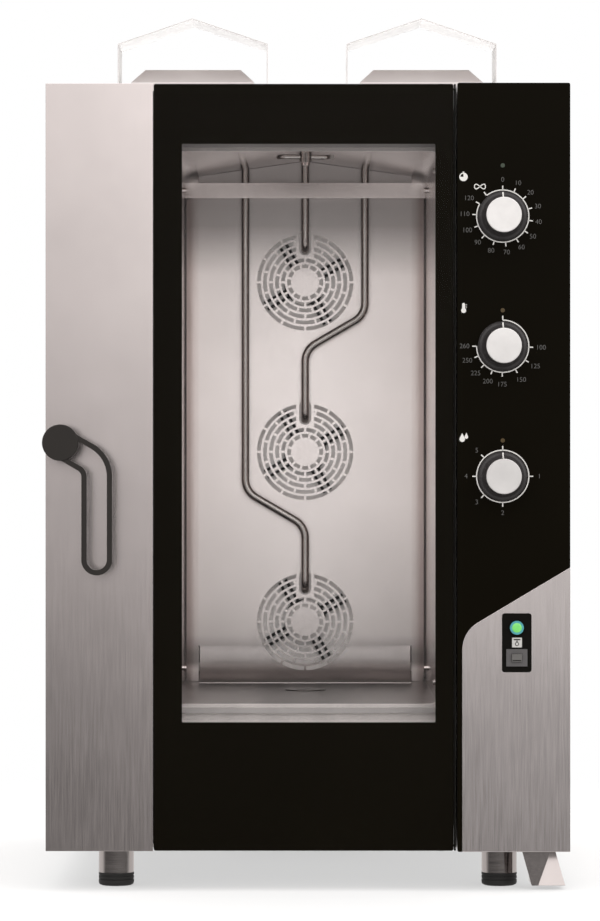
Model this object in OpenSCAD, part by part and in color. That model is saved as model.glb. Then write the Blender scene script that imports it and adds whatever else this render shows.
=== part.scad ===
// Combi steamer oven with three fans, a side-hinged glass door and two gas flues.
// All sizes are millimetres. +X is to the right seen from the front, +Y is to the rear, +Z is up.
// The origin is the centre of the footprint, on the surface that the feet stand on.
// Depths inside the modules are measured rearwards from the front face of the door.

/* [Cabinet] */
// Width over the side panels
cabinet_w = 730; // [726:1:740]
// Height of the cabinet without the feet
cabinet_h = 1070; // [1066:1:1080]
// Depth from the front face of the door to the rear panel
cabinet_d = 840; // [835:1:860]
// Height of the feet under the cabinet
foot_h = 56; // [50:1:70]
// Thickness of the sheet metal panels
sheet = 1.5; // [1.2:0.1:1.5]

/* [Cooking chamber] */
// Inner width of the cooking chamber
chamber_w = 374; // [366:1:376]
// Height of the chamber floor
floor_z = 258; // [256:1:259]
// Height of the ceiling at the side walls
ceiling_z = 1039; // [1037:1:1042]
// Height of the ceiling along its middle
ridge_z = 1065; // [1060:1:1070]
// Depth at which the air baffle stands
baffle_y = 636; // [632:1:640]
// Outer radius of the spray pipes
pipe_r = 6; // [5:0.5:6.5]

/* [Door] */
// Right-hand edge of the door glass
glass_right = 203; // [201:0.5:203]
// Edge between the steel strip and the glass of the door
glass_left = -215; // [-225:1:-205]
// How far the handle stands out in front of the door
handle_reach = 78; // [70:1:90]
// Radius of the handle's round hub
hub_r = 25; // [22:0.5:28]

/* [Controls] */
// Left-hand edge of the control glass
control_left = 208; // [208:0.5:209]
// Distance of the knobs from the middle of the cabinet
knob_x = 271; // [266:1:276]
// Radius of the foot of a knob
knob_r = 34.5; // [30:0.5:35]

/* [Flues] */
// Distance of each flue from the middle of the cabinet
flue_x = 177; // [170:1:185]
// Depth at which the flues stand
flue_y = 675; // [672:1:678]
// Width of a draught hood
hood_w = 232; // [225:1:240]

/* [Hidden] */
$fn = 64;

// Cabinet
half_w = cabinet_w / 2;
base_z = foot_h;
top_z = foot_h + cabinet_h;
rear_reach = 30;
front_y = (handle_reach - cabinet_d - rear_reach) / 2;
frame_y = 66;
frame_t = 2;
rear_y = cabinet_d - sheet;

// Cooking chamber
chamber_x = -3;
chamber_y = frame_y + frame_t;
chamber_back_y = 712;
chamber_l = chamber_x - chamber_w / 2;
chamber_r = chamber_x + chamber_w / 2;
opening_top_z = ceiling_z - 3;
opening_r = 12;
ceiling_a = atan((ridge_z - ceiling_z) / (chamber_w / 2));
corner_r = 16;
cove_r = 55;
wool = 30;
drain_y = 400;
drain_r = 20;
drain_z = 115;

// Service connections on the rear panel
valve_x = [-300, -240];
valve_z = 180;
gas_x = 250;
gas_z = 130;
gland_x = 300;
gland_z = 230;
stub_y = cabinet_d + 2;

// Fans: heights of the three shafts
fan_z = [350.5, 614, 877];
fan_r = 88;
wheel_y = baffle_y + 20;
shaft_r = 6;
motor_y = chamber_back_y + sheet + wool;

// Spray pipes
pipe_y = 622;
pipe_side = 92.5;
pipe_bend_r = 32;
nozzle_drop = 50;
nozzle_y = 650;
nozzle_bend_r = 14;
arm_y = 330;
arm_z = 1048;
rail_z1 = 1005.5;
rail_z2 = 1029;
rail_y = 604;

// Heat exchangers
tube_r = 14;
tube_x = 150;
tube_inner_x = 115;

// Door
door_t = 58;
glass_t = 5;
pin_x = glass_right - 17;
pin_y = 13;
pin_r = 4;
bracket_r = 7.5;
bracket_t = 6;
frame_left = -half_w + sheet;
frame_right = pin_x + 20;
frame_bottom = base_z + 10;
frame_top = top_z - 10;
frame_front = 5;
frame_back = 54;
aperture = [-184, 227, 186, 1050];
pane = [chamber_l - 17, 236, 199, opening_top_z + 17];
hub_x = -half_w + hub_r;
hub_z = 625;
handle_shaft_r = 6;
gasket_y = 60.3;

// Controls
knob_z = [940.5, 759.5, 578.5];
spindle_r = 3;
steel_left = 214.7;
steel_corner_z = 362;
steel_slope = 30.8;
steel_r = 45;
control_t = 4;
lamp_z = [1011, 809.5, 628.5];
lamp_r = 3;
plate = [270, 306, 311, 388];
power_z = 368;
power_r = 10.4;
reset = [275.8, 314.2, 305.2, 338.2];
reset_key = [283.5, 320.8, 297.5, 331.6];
switch_x = (plate[0] + plate[2]) / 2;

// Flues
flue_w = 190;
flue_d = 110;
flue_top_z = 1207;
flue_mouth_w = 148;
hood_d = 120;
hood_eaves_z = 1245;
hood_ridge_z = 1284.5;
hood_flange = 20;

// Feet
foot_r = 25;
foot_pad_h = 18;
foot_x = 271;
foot_ys = [100, 765];
foot_stem_r = 8;

// ---------------------------------------------------------------- helpers

// Puts geometry drawn from the front of the door into the oven's own frame
module placed() { translate([0, front_y, 0]) children(); }

// A box between two corners
module block(a, b) { translate(a) cube(b - a); }

// Round bars along the three axes
module rod_x(r, x1, x2, y, z) { translate([x1, y, z]) rotate([0, 90, 0]) cylinder(r = r, h = x2 - x1); }
module rod_y(r, y1, y2, x, z) { translate([x, y2, z]) rotate([90, 0, 0]) cylinder(r = r, h = y2 - y1); }
module rod_z(r, z1, z2, x, y) { translate([x, y, z1]) cylinder(r = r, h = z2 - z1); }

// An outline drawn in X and Z, thickened from y1 to y2
module slab(y1, y2) { translate([0, y2, 0]) rotate([90, 0, 0]) linear_extrude(y2 - y1) children(); }

// A rectangle [left, bottom, right, top], grown by g
module rect(b, g = 0) { translate([b[0] - g, b[1] - g]) square([b[2] - b[0] + 2 * g, b[3] - b[1] + 2 * g]); }

// The same rectangle with round corners
module rounded(b, r) {
    rect([b[0] + r, b[1], b[2] - r, b[3]], 0);
    rect([b[0], b[1] + r, b[2], b[3] - r], 0);
    for (x = [b[0] + r, b[2] - r], z = [b[1] + r, b[3] - r]) translate([x, z]) circle(r);
}

// Part of a ring around a vertical axis
module sector(r1, r2, z1, z2, a1, a2) {
    rotate([0, 0, a1]) rotate_extrude(angle = a2 - a1) translate([r1, z1]) square([r2 - r1, z2 - z1]);
}

// A flat bar from point p to point q, w wide, z1 to z2 thick
module bar(p, q, w, z1, z2) {
    translate([p[0], p[1], z1]) rotate([0, 0, atan2(q[1] - p[1], q[0] - p[0])])
        translate([0, -w / 2, 0]) cube([norm(q - p), w, z2 - z1]);
}

// A row of ventilation slots, each long and h high, cut along X through a rear or front wall
module louvre_slots(x1, x2, z1, pitch, count, h, y1, y2) {
    for (i = [0:count - 1]) {
        z = z1 + i * pitch;
        block([x1, y1, z - h / 2], [x2, y2, z + h / 2]);
        for (x = [x1, x2]) rod_y(h / 2, y1, y2, x, z);
    }
}

// The chamber's cross-section, grown by g, with its foot at height z0
module chamber_outline(g, z0) {
    w = chamber_w / 2 + g;
    r = corner_r + g;
    zc = ceiling_z + corner_r * tan(ceiling_a) - corner_r / cos(ceiling_a);
    ridge = ridge_z + g / cos(ceiling_a);
    translate([chamber_x, 0]) {
        polygon([[-w, z0], [w, z0], [w, zc], [w - r + r * sin(ceiling_a), zc + r * cos(ceiling_a)],
            [0, ridge], [-w + r - r * sin(ceiling_a), zc + r * cos(ceiling_a)], [-w, zc]]);
        for (s = [-1, 1]) translate([s * (w - r), zc]) circle(r);
    }
}

// Screw places: [x, z] on the rear panel and [x, y] on the top panel
screw_r = 2;
rear_screws = [for (x = [-350, 350], z = [110, 340, 600, 860, 1100]) [x, z]];
hood_screws = [for (s = [-1, 1], t = [-1, 1], d = [-40, 40])
    [s * flue_x + t * (hood_w / 2 + hood_flange / 2), flue_y + d]];

// ---------------------------------------------------------------- cabinet

// Folded pan that carries the whole oven
module base_pan() color("silver") placed() difference() {
    block([-half_w + sheet, chamber_y, base_z], [half_w - sheet, rear_y, base_z + 32]);
    block([-half_w + sheet + 2, chamber_y + 2, base_z + 2], [half_w - sheet - 2, rear_y - 2, base_z + 33]);
    for (x = [-foot_x, foot_x], y = foot_ys) rod_z(foot_stem_r + 0.3, base_z - 1, base_z + 3, x, y);
    for (i = [0:7]) block([-120, 470 + i * 22, base_z - 1], [120, 478 + i * 22, base_z + 3]);
}

// Side panel on side s, -1 for the left and 1 for the right, with a fold that the rear panel lies on
module side_panel(s) {
    edge = s * half_w;
    inner = s * (half_w - sheet);
    fold = s * (half_w - 30);
    difference() {
        union() {
            block([min(edge, inner), frame_y, base_z], [max(edge, inner), cabinet_d, top_z]);
            block([min(edge, fold), rear_y - sheet, base_z + 32], [max(edge, fold), rear_y, top_z - sheet]);
        }
        for (i = [0:11]) {
            z = 120 + i * 16;
            block([min(edge, inner) - 1, 560, z - 2], [max(edge, inner) + 1, 700, z + 2]);
            for (y = [560, 700]) rod_x(2, min(edge, inner) - 1, max(edge, inner) + 1, y, z);
        }
        for (p = rear_screws) rod_y(screw_r, rear_y - 3, rear_y + 1, p[0], p[1]);
    }
}
module left_side_panel() color("silver") placed() side_panel(-1);
module right_side_panel() color("silver") placed() side_panel(1);

// Rear panel with its air slots and the holes for the connections
module rear_panel() color("silver") placed() difference() {
    block([-half_w + sheet, rear_y, base_z], [half_w - sheet, cabinet_d, top_z]);
    for (x = [-230, 60]) louvre_slots(x, x + 170, 700, 22, 14, 6, rear_y - 1, cabinet_d + 1);
    for (x = valve_x) rod_y(13.4, rear_y - 1, cabinet_d + 1, x, valve_z);
    rod_y(drain_r + 0.2, rear_y - 1, cabinet_d + 1, chamber_x, drain_z);
    rod_y(10.6, rear_y - 1, cabinet_d + 1, gas_x, gas_z);
    rod_y(12, rear_y - 1, cabinet_d + 1, gland_x, gland_z);
    for (p = rear_screws) rod_y(screw_r, rear_y - 1, cabinet_d + 1, p[0], p[1]);
}

// Top panel with the two flue openings
module top_panel() color("silver") placed() difference() {
    block([-half_w + sheet, chamber_y, top_z - sheet], [half_w - sheet, rear_y, top_z]);
    for (s = [-1, 1]) block([s * flue_x - 85, flue_y - 45, top_z - 3], [s * flue_x + 85, flue_y + 45, top_z + 1]);
    for (p = hood_screws) rod_z(screw_r, top_z - 3, top_z + 1, p[0], p[1]);
}

// Front frame around the chamber's mouth, on which the door closes
module front_frame() color("silver") placed() slab(frame_y, frame_y + frame_t) difference() {
    rect([-half_w + sheet, base_z, half_w - sheet, top_z]);
    rounded([chamber_l, floor_z, chamber_r, opening_top_z], opening_r);
}

// ---------------------------------------------------------------- cooking chamber

// Side walls and gabled ceiling in one folded sheet, with the studs that side racks hang on
module cavity_wrap() color("gainsboro") placed() {
    difference() {
        slab(chamber_y, chamber_back_y) difference() {
            chamber_outline(sheet, floor_z - sheet);
            chamber_outline(0, floor_z - 10);
        }
        for (s = [-1, 1]) rod_z(tube_r + 0.5, ridge_z - 60, ridge_z + 20, chamber_x + s * tube_x, flue_y);
        for (s = [-1, 0, 1]) rod_z(pipe_r + 0.3, ridge_z - 60, ridge_z + 20, chamber_x + s * pipe_side, pipe_y);
    }
    for (y = [120, 520], z = [285, 1012]) {
        rod_x(4, chamber_l, chamber_l + 6, y, z);
        rod_x(4, chamber_r - 6, chamber_r, y + 1, z);
    }
    rod_z(4, arm_z - 8, ridge_z + 12, chamber_x, arm_y);
    rod_z(6.5, arm_z - 12, arm_z - 8, chamber_x, arm_y);
}

// Chamber floor with the drain hole and the passages of the burner tubes
module cavity_floor() color("gainsboro") placed() difference() {
    block([chamber_l, chamber_y, floor_z - sheet], [chamber_r, chamber_back_y, floor_z]);
    rod_z(drain_r - 2, floor_z - 5, floor_z + 5, chamber_x, drain_y);
    for (s = [-1, 1]) rod_z(tube_r + 0.5, floor_z - 5, floor_z + 5, chamber_x + s * tube_x, flue_y);
}

// Rear wall of the chamber, with a hole for each fan shaft
module cavity_rear_wall() color("gainsboro") placed() difference() {
    slab(chamber_back_y, chamber_back_y + sheet) chamber_outline(sheet, floor_z - sheet);
    for (z = fan_z) rod_y(shaft_r + 2, chamber_back_y - 1, chamber_back_y + 3, chamber_x, z);
}

// Mineral wool slabs around the chamber
module cavity_insulation() color("khaki") placed() {
    l = chamber_l - sheet;
    r = chamber_r + sheet;
    top = ridge_z + 4;
    block([l - wool, chamber_y, floor_z - wool], [l, motor_y, top]);
    block([r, chamber_y, floor_z - wool], [r + wool - 8, motor_y, top]);
    difference() {
        block([l - wool, chamber_y, top], [r + wool - 8, motor_y, top + wool]);
        for (s = [-1, 1]) rod_z(tube_r + 0.5, top - 1, top + wool + 1, chamber_x + s * tube_x, flue_y);
        for (s = [-1, 0, 1]) rod_z(pipe_r + 0.3, top - 1, top + wool + 1, chamber_x + s * pipe_side, pipe_y);
        rod_z(5, top - 1, top + wool + 1, chamber_x, arm_y);
    }
    difference() {
        block([l, chamber_y, floor_z - wool], [r, motor_y, floor_z - sheet]);
        rod_z(drain_r + 0.5, floor_z - wool - 1, floor_z, chamber_x, drain_y);
        for (s = [-1, 1]) rod_z(tube_r + 0.5, floor_z - wool - 1, floor_z, chamber_x + s * tube_x, flue_y);
    }
    difference() {
        block([l, chamber_back_y + sheet, floor_z - sheet], [r, motor_y, top]);
        for (z = fan_z) rod_y(shaft_r + 4, chamber_back_y, motor_y + 1, chamber_x, z);
    }
}

// One ring of arc-shaped holes with a land between each two
module slot_ring(r, w, count, turn, land) {
    difference() {
        circle(r + w / 2);
        circle(r - w / 2);
        for (i = [0:count - 1]) rotate(turn + (i + 0.5) * 360 / count)
            translate([0, -land / 2]) square([r + w, land]);
    }
}

// The six rings of slots in front of a fan
module grille() for (i = [0:5]) slot_ring(25 + 9.35 * i, 6, 12, i % 2 * 15, 3.4);

// Air baffle in front of the fans, with three round grilles and the slots of the pipe nozzles.
// Its curved sides and foot are thicker than the flat by g on each face
module air_baffle() color("gainsboro") placed() {
    flat = chamber_w / 2 - 22;
    bend_r = 45;
    bend_a = 25;
    g = 0.05;
    foot = floor_z + cove_r + g;
    shoulder = ridge_z - 0.5 - flat * tan(ceiling_a);
    slab(baffle_y, baffle_y + sheet) difference() {
        translate([chamber_x, 0]) polygon([[-flat, foot], [flat, foot], [flat, shoulder],
            [0, ridge_z - 0.5], [-flat, shoulder]]);
        for (z = fan_z) translate([chamber_x, z]) {
            difference() {
                grille();
                translate([-14, 38]) square([28, 50]);
            }
            translate([-9.2, 51]) square([18.4, 20]);
            for (d = [51, 71]) translate([0, d]) circle(9.2);
        }
    }
    for (side = [0, 1]) translate([chamber_x, 0]) mirror([side, 0, 0]) translate([flat, baffle_y + bend_r, 0])
        sector(bend_r - sheet - g, bend_r + g, floor_z + 0.5, rail_z2 - 1, -90, bend_a - 90);
    difference() {
        translate([chamber_x - flat + 2, baffle_y + sheet - cove_r, foot]) rotate([90, 0, 90])
            sector(cove_r - sheet - g, cove_r + g, 0, 2 * flat - 4, -90, 0);
        slab(baffle_y - 24, baffle_y + sheet + 1) intersection() {
            translate([chamber_x, fan_z[0]]) grille();
            rect([chamber_x - 90, foot - 50, chamber_x + 90, foot]);
        }
    }
}

// Channel that holds the three spray pipes against the baffle
module pipe_retainer_rail() color("gray") placed() difference() {
    block([chamber_l + 0.5, rail_y, rail_z1], [chamber_r - 0.5, baffle_y, rail_z2]);
    block([chamber_l, rail_y + sheet, rail_z1 + sheet], [chamber_r, baffle_y + 1, rail_z2 - sheet]);
    for (s = [-1, 0, 1]) {
        rod_z(pipe_r, rail_z1 - 1, rail_z2 + 1, chamber_x + s * pipe_side, pipe_y);
        block([chamber_x + s * pipe_side - pipe_r, pipe_y, rail_z1 - 1],
            [chamber_x + s * pipe_side + pipe_r, baffle_y + 1, rail_z2 + 1]);
    }
}

// Pieces of a spray pipe's path: a straight drop and a bend around an axis along Y.
// The bends are j thicker than the straights, which run 1 mm into them
module pipe_drop(r, x, z1, z2) rod_z(r, z1, z2, x, pipe_y);
module pipe_bend(r, x, z, a1, a2) translate([x, pipe_y, z]) rotate([90, 0, 0]) rotate([0, 0, a1])
    rotate_extrude(angle = a2 - a1) translate([pipe_bend_r, 0]) circle(r);

// Last bend of a pipe: from straight down to straight back, through the baffle
module pipe_nozzle(r, z, j, e) {
    translate([chamber_x, pipe_y + nozzle_bend_r, z + nozzle_bend_r]) rotate([90, 0, 90]) rotate([0, 0, 180])
        rotate_extrude(angle = 90) translate([nozzle_bend_r, 0]) circle(r + j);
    rod_y(r, pipe_y + nozzle_bend_r - 1, nozzle_y + e, chamber_x, z);
}

// Path of the pipe that comes straight down
module straight_path(r, j, e) {
    nozzle = fan_z[2] + nozzle_drop;
    pipe_drop(r, chamber_x, nozzle + nozzle_bend_r - 1, ridge_z + 15 + e);
    pipe_nozzle(r, nozzle, j, e);
}

// Path of a pipe that comes down beside the fans and swings back to the middle.
// s is the side it comes down on, z1 is the height of its first corner
module swung_path(s, z1, fan, r, j, e) {
    drop = 54;
    a = atan(drop / pipe_side);
    t = pipe_bend_r * tan((90 - a) / 2);
    x0 = chamber_x + s * pipe_side;
    z2 = z1 - drop;
    pipe_drop(r, x0, z1 + t - 1, ridge_z + 15 + e);
    if (s > 0) pipe_bend(r + j, x0 - pipe_bend_r, z1 + t, a - 90, 0);
    else pipe_bend(r + j, x0 + pipe_bend_r, z1 + t, 180, 270 - a);
    translate([x0 - s * (t - 1) * cos(a), pipe_y, z1 - (t - 1) * sin(a)])
        rotate([0, s > 0 ? -90 - a : 90 + a, 0]) cylinder(r = r, h = norm([pipe_side, drop]) - 2 * t + 2);
    if (s > 0) pipe_bend(r + j, chamber_x + pipe_bend_r, z2 - t, 90 + a, 180);
    else pipe_bend(r + j, chamber_x - pipe_bend_r, z2 - t, 0, 90 - a);
    nozzle = fan + nozzle_drop;
    pipe_drop(r, chamber_x, nozzle + nozzle_bend_r - 1, z2 - t + 1);
    pipe_nozzle(r, nozzle, j, e);
}
module swung_pipe(s, z1, fan) difference() {
    swung_path(s, z1, fan, pipe_r, 0.15, 0);
    swung_path(s, z1, fan, pipe_r - 1, -0.15, 1);
}

module spray_pipe_upper() color("dimgray") placed() difference() {
    straight_path(pipe_r, 0.15, 0);
    straight_path(pipe_r - 1, -0.15, 1);
}
module spray_pipe_middle() color("dimgray") placed() swung_pipe(1, 826, fan_z[1]);
module spray_pipe_lower() color("dimgray") placed() swung_pipe(-1, 553, fan_z[0]);

// Rotor that washes the chamber: a hub and two bent jets
module wash_arm() color("dimgray") placed() translate([chamber_x, arm_y, arm_z]) difference() {
    union() {
        translate([0, 0, -7.5]) cylinder(r = 9, h = 15);
        for (t = [0, 180]) rotate([0, 0, t + 10]) {
            translate([6, 0, 0]) rotate([0, 90, 0]) cylinder(r = 3.5, h = 20);
            translate([26, -12, 0]) rotate_extrude(angle = 90) translate([12, 0]) circle(3.5);
        }
    }
    translate([0, 0, -9]) cylinder(r = 4.05, h = 20);
}

// ---------------------------------------------------------------- fans

// Fan wheel with its shaft and nut, at height z
module fan_wheel(z) translate([chamber_x, wheel_y, z]) {
    rod_y(fan_r, 40, 42, 0, 0);
    rod_y(33, 30, 40, 0, 0);
    rod_y(14, 14, 30, 0, 0);
    slab(0, 1.5) difference() {
        circle(fan_r);
        circle(fan_r - 12);
    }
    for (i = [0:23]) rotate([0, i * 15, 0]) block([fan_r - 17, 1.4, -0.75], [fan_r - 0.5, 41, 0.75]);
    for (i = [0:3], e = [-1, 1]) rotate([0, 60 - i * 90, 0])
        block([30, 24, e * 5.4 - 2.2], [fan_r - 17.5, 41, e * 5.4 + 2.2]);
    rod_y(shaft_r, 41, motor_y + 37 - wheel_y, 0, 0);
    rod_y(8.5, 7, 14, 0, 0);
}
module fan_wheel_upper() color("silver") placed() fan_wheel(fan_z[2]);
module fan_wheel_middle() color("silver") placed() fan_wheel(fan_z[1]);
module fan_wheel_lower() color("silver") placed() fan_wheel(fan_z[0]);

// The three fan motors
module fan_motors() color("darkslategray") placed() for (z = fan_z) translate([chamber_x, motor_y, z]) difference() {
    union() {
        block([-55, 0, -55], [55, 3, 55]);
        rod_y(46, 3, 60, 0, 0);
        rod_y(38, 60, 74, 0, 0);
        for (i = [0:23]) rotate([0, i * 15, 0]) block([45, 8, -1], [50, 56, 1]);
        block([-22, 12, 44], [22, 54, 66]);
    }
    rod_y(shaft_r + 0.08, -1, 38, 0, 0);
}

// ---------------------------------------------------------------- gas side

// One twin-tube heat exchanger on each side of the fans, from burner to flue
module heat_exchangers() color("slategray") placed() for (s = [-1, 1]) {
    outer = chamber_x + s * tube_x;
    inner = chamber_x + s * tube_inner_x;
    low = 285;
    high = 1000;
    difference() {
        union() {
            rod_z(tube_r, 200, low, outer, flue_y);
            rod_z(tube_r, high, top_z + 12, outer, flue_y);
            for (x = [outer, inner]) rod_z(tube_r, low, high, x, flue_y);
            for (z = [low - 12, high]) block([min(outer, inner) - 16, flue_y - 16, z],
                [max(outer, inner) + 16, flue_y + 16, z + 12]);
        }
        rod_z(tube_r - 1.5, 199, top_z + 13, outer, flue_y);
        rod_z(tube_r - 1.5, low - 6, high + 6, inner, flue_y);
        for (z = [low - 8, high + 3]) block([min(outer, inner), flue_y - 10, z],
            [max(outer, inner), flue_y + 10, z + 5]);
    }
}

// Gas inlet, valve, manifold and the two burners
module gas_train() color("goldenrod") placed() {
    pipe_z = 152;
    for (s = [-1, 1]) rod_z(18, 125, 200, chamber_x + s * tube_x, flue_y);
    rod_x(7, chamber_x - tube_x + 17, chamber_x + tube_x - 17, flue_y, pipe_z);
    rod_x(7, chamber_x + tube_x + 17, gas_x - 24, flue_y, pipe_z);
    block([gas_x - 25, flue_y - 30, gas_z - 20], [gas_x + 35, flue_y + 45, gas_z + 35]);
    difference() {
        union() {
            rod_y(10, flue_y + 44, cabinet_d + 5, gas_x, gas_z);
            rod_y(10.5, stub_y, cabinet_d + rear_reach, gas_x, gas_z);
            rod_y(15, rear_y - 6, rear_y, gas_x, gas_z);
        }
        rod_y(7.5, rear_y - 40, cabinet_d + rear_reach + 1, gas_x, gas_z);
    }
}

// Outline of a flue base seen from the front or from the side: a box with sloping shoulders
module flue_profile(w, mouth, g) {
    rise = (w - mouth) / 2;
    polygon([[-w / 2 - g, top_z], [w / 2 + g, top_z], [w / 2 + g, flue_top_z - rise + g * 0.414],
        [mouth / 2 + g * 0.414, flue_top_z + g], [-mouth / 2 - g * 0.414, flue_top_z + g],
        [-w / 2 - g, flue_top_z - rise + g * 0.414]]);
}
module flue_solid(g) intersection() {
    slab(-200, 200) flue_profile(flue_w, flue_mouth_w, g);
    rotate([0, 0, 90]) slab(-200, 200) flue_profile(flue_d, flue_d - flue_w + flue_mouth_w, g);
}

// Base of each flue: open at the foot and at the mouth
module flue_bases() color("silver") placed() for (s = [-1, 1]) translate([s * flue_x, flue_y, 0]) difference() {
    union() {
        flue_solid(0);
        block([-flue_w / 2 - 4, -flue_d / 2 - 4, top_z], [flue_w / 2 + 4, flue_d / 2 + 4, top_z + sheet]);
    }
    flue_solid(-sheet);
    mouth_x = flue_mouth_w / 2 - 2;
    mouth_y = (flue_d - flue_w + flue_mouth_w) / 2 - 2;
    block([-mouth_x, -mouth_y, top_z - 1], [mouth_x, mouth_y, flue_top_z + 1]);
}

// Draught hood over each flue: a thin folded roof, open at the front and at the rear
module hood_profile() {
    w = hood_w / 2;
    difference() {
        union() {
            polygon([[-w, top_z], [w, top_z], [w, hood_eaves_z], [0, hood_ridge_z], [-w, hood_eaves_z]]);
            rect([-w - hood_flange, top_z, w + hood_flange, top_z + sheet]);
        }
        polygon([[-w + sheet, top_z - 1], [w - sheet, top_z - 1], [w - sheet, hood_eaves_z - 1],
            [0, hood_ridge_z - 1.6], [-w + sheet, hood_eaves_z - 1]]);
    }
}
module draught_hoods() color("whitesmoke") placed() difference() {
    for (s = [-1, 1]) translate([s * flue_x, flue_y, 0]) slab(-hood_d / 2, hood_d / 2) hood_profile();
    for (p = hood_screws) rod_z(screw_r, top_z - 1, top_z + 3, p[0], p[1]);
}

// ---------------------------------------------------------------- feet

module foot_sleeves() color("silver") placed() for (x = [-foot_x, foot_x], y = foot_ys) difference() {
    rod_z(foot_r, foot_pad_h + 0.4, base_z, x, y);
    rod_z(foot_stem_r + 0.3, foot_pad_h, base_z + 1, x, y);
}

// Levelling foot: a ribbed pad on a threaded stem
module levelling_foot(x, y) translate([x, y, 0]) {
    rotate_extrude() polygon([[0, 0], [21, 0], [24, 1.5], [foot_r, 4], [foot_r, 8], [foot_r - 0.8, 8.5],
        [foot_r - 0.8, 9.5], [foot_r, 10], [foot_r, 13], [foot_r - 0.8, 13.5], [foot_r - 0.8, 14.5],
        [foot_r, 15], [foot_r, foot_pad_h], [foot_stem_r, foot_pad_h], [foot_stem_r, foot_pad_h + 34],
        [0, foot_pad_h + 34]]);
}
module foot_front_left() color("darkslategray") placed() levelling_foot(-foot_x, foot_ys[0]);
module foot_front_right() color("darkslategray") placed() levelling_foot(foot_x, foot_ys[0]);
module foot_rear_left() color("darkslategray") placed() levelling_foot(-foot_x, foot_ys[1]);
module foot_rear_right() color("darkslategray") placed() levelling_foot(foot_x, foot_ys[1]);

// ---------------------------------------------------------------- connections

// Two solenoid valves with threaded inlets through the rear panel
module water_valves() color("gray") placed() for (x = valve_x) translate([x, 0, valve_z]) {
    difference() {
        union() {
            rod_y(12.6, rear_y - 23, cabinet_d + 5, 0, 0);
            rod_y(13.2, stub_y, cabinet_d + rear_reach, 0, 0);
            rod_y(18, rear_y - 6, rear_y, 0, 0);
        }
        rod_y(9, rear_y - 20, cabinet_d + rear_reach + 1, 0, 0);
    }
    block([-19, rear_y - 68, -16], [19, rear_y - 23, 16]);
    rod_z(13, 15, 48, 0, rear_y - 46);
}

// Drain pipe from the chamber floor to the rear
module drain_path(r, bend, e) {
    rod_z(r, drain_z + bend, floor_z - sheet + e, chamber_x, drain_y);
    translate([chamber_x, drain_y + bend, drain_z + bend]) rotate([90, 0, 90]) rotate([0, 0, 180])
        rotate_extrude(angle = 90) translate([bend, 0]) circle(r);
    rod_y(r, drain_y + bend, cabinet_d + (e > 0 ? rear_reach : 5) + e, chamber_x, drain_z);
}
module drain_pipe() color("dimgray") placed() difference() {
    union() {
        drain_path(drain_r - 0.3, 45, 0);
        rod_y(drain_r, stub_y, cabinet_d + rear_reach, chamber_x, drain_z);
        rod_y(drain_r + 5, rear_y - 6, rear_y, chamber_x, drain_z);
    }
    drain_path(drain_r - 2, 45, 1);
}

// Perforated cap that sits in the drain hole
module drain_strainer() color("silver") placed() translate([chamber_x, drain_y, floor_z]) difference() {
    union() {
        cylinder(r = 30, h = 1.5);
        translate([0, 0, -12]) cylinder(r = drain_r - 2.2, h = 12);
    }
    translate([0, 0, -13]) cylinder(r = drain_r - 3.5, h = 13);
    for (i = [0:11]) rotate([0, 0, i * 30]) translate([12, 0, -1]) cylinder(r = 2, h = 4);
    for (i = [0:5]) rotate([0, 0, i * 60]) translate([6, 0, -1]) cylinder(r = 1.6, h = 4);
}

// Cable gland of the mains supply
module mains_gland() color("darkslategray") placed() difference() {
    union() {
        rod_y(11.9, rear_y - 10, cabinet_d + 12, gland_x, gland_z);
        translate([gland_x, cabinet_d + 6, gland_z]) rotate([90, 0, 0]) cylinder(r = 17, h = 6, $fn = 6);
        rod_y(14, cabinet_d + 6, cabinet_d + 20, gland_x, gland_z);
        rod_y(16, rear_y - 8, rear_y, gland_x, gland_z);
    }
    rod_y(8, rear_y - 11, cabinet_d + 21, gland_x, gland_z);
}

// ---------------------------------------------------------------- controls

// Outline of the lower steel cover, with its round shoulder and sloping top
module steel_outline(g) {
    cx = steel_left + steel_r;
    t = steel_r * tan((90 - steel_slope) / 2);
    cz = steel_corner_z - t;
    r = steel_r + g;
    rise = (half_w - cx) * tan(steel_slope) + r / cos(steel_slope);
    polygon([[steel_left - g, base_z], [half_w, base_z], [half_w, cz + rise],
        [cx - r * sin(steel_slope), cz + r * cos(steel_slope)], [steel_left - g, cz]]);
    translate([cx, cz]) circle(r);
}

// Box behind the controls
module control_box() color("silver") placed() difference() {
    block([control_left + 0.5, control_t, base_z], [half_w, frame_y, top_z]);
    block([control_left + 2, 0, base_z + sheet], [half_w - sheet, frame_y + 1, top_z - sheet]);
}

module control_glass() color("black") placed() difference() {
    slab(0, control_t) difference() {
        rounded([control_left, base_z, half_w, top_z], 3);
        steel_outline(0.4);
    }
    for (z = knob_z) rod_y(spindle_r + 3, -1, control_t + 1, knob_x, z);
    for (z = lamp_z) rod_y(lamp_r, -1, control_t + 1, knob_x, z);
}

module control_steel_cover() color("silver") placed() difference() {
    union() {
        slab(0, sheet) steel_outline(0);
        block([half_w - sheet, 0, base_z], [half_w, control_t, 440]);
        block([steel_left, 0, base_z], [steel_left + sheet, control_t, 320]);
        block([steel_left, 0, base_z], [half_w, control_t, base_z + sheet]);
    }
    slab(-1, sheet + 1) rect(plate, -3);
}

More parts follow.
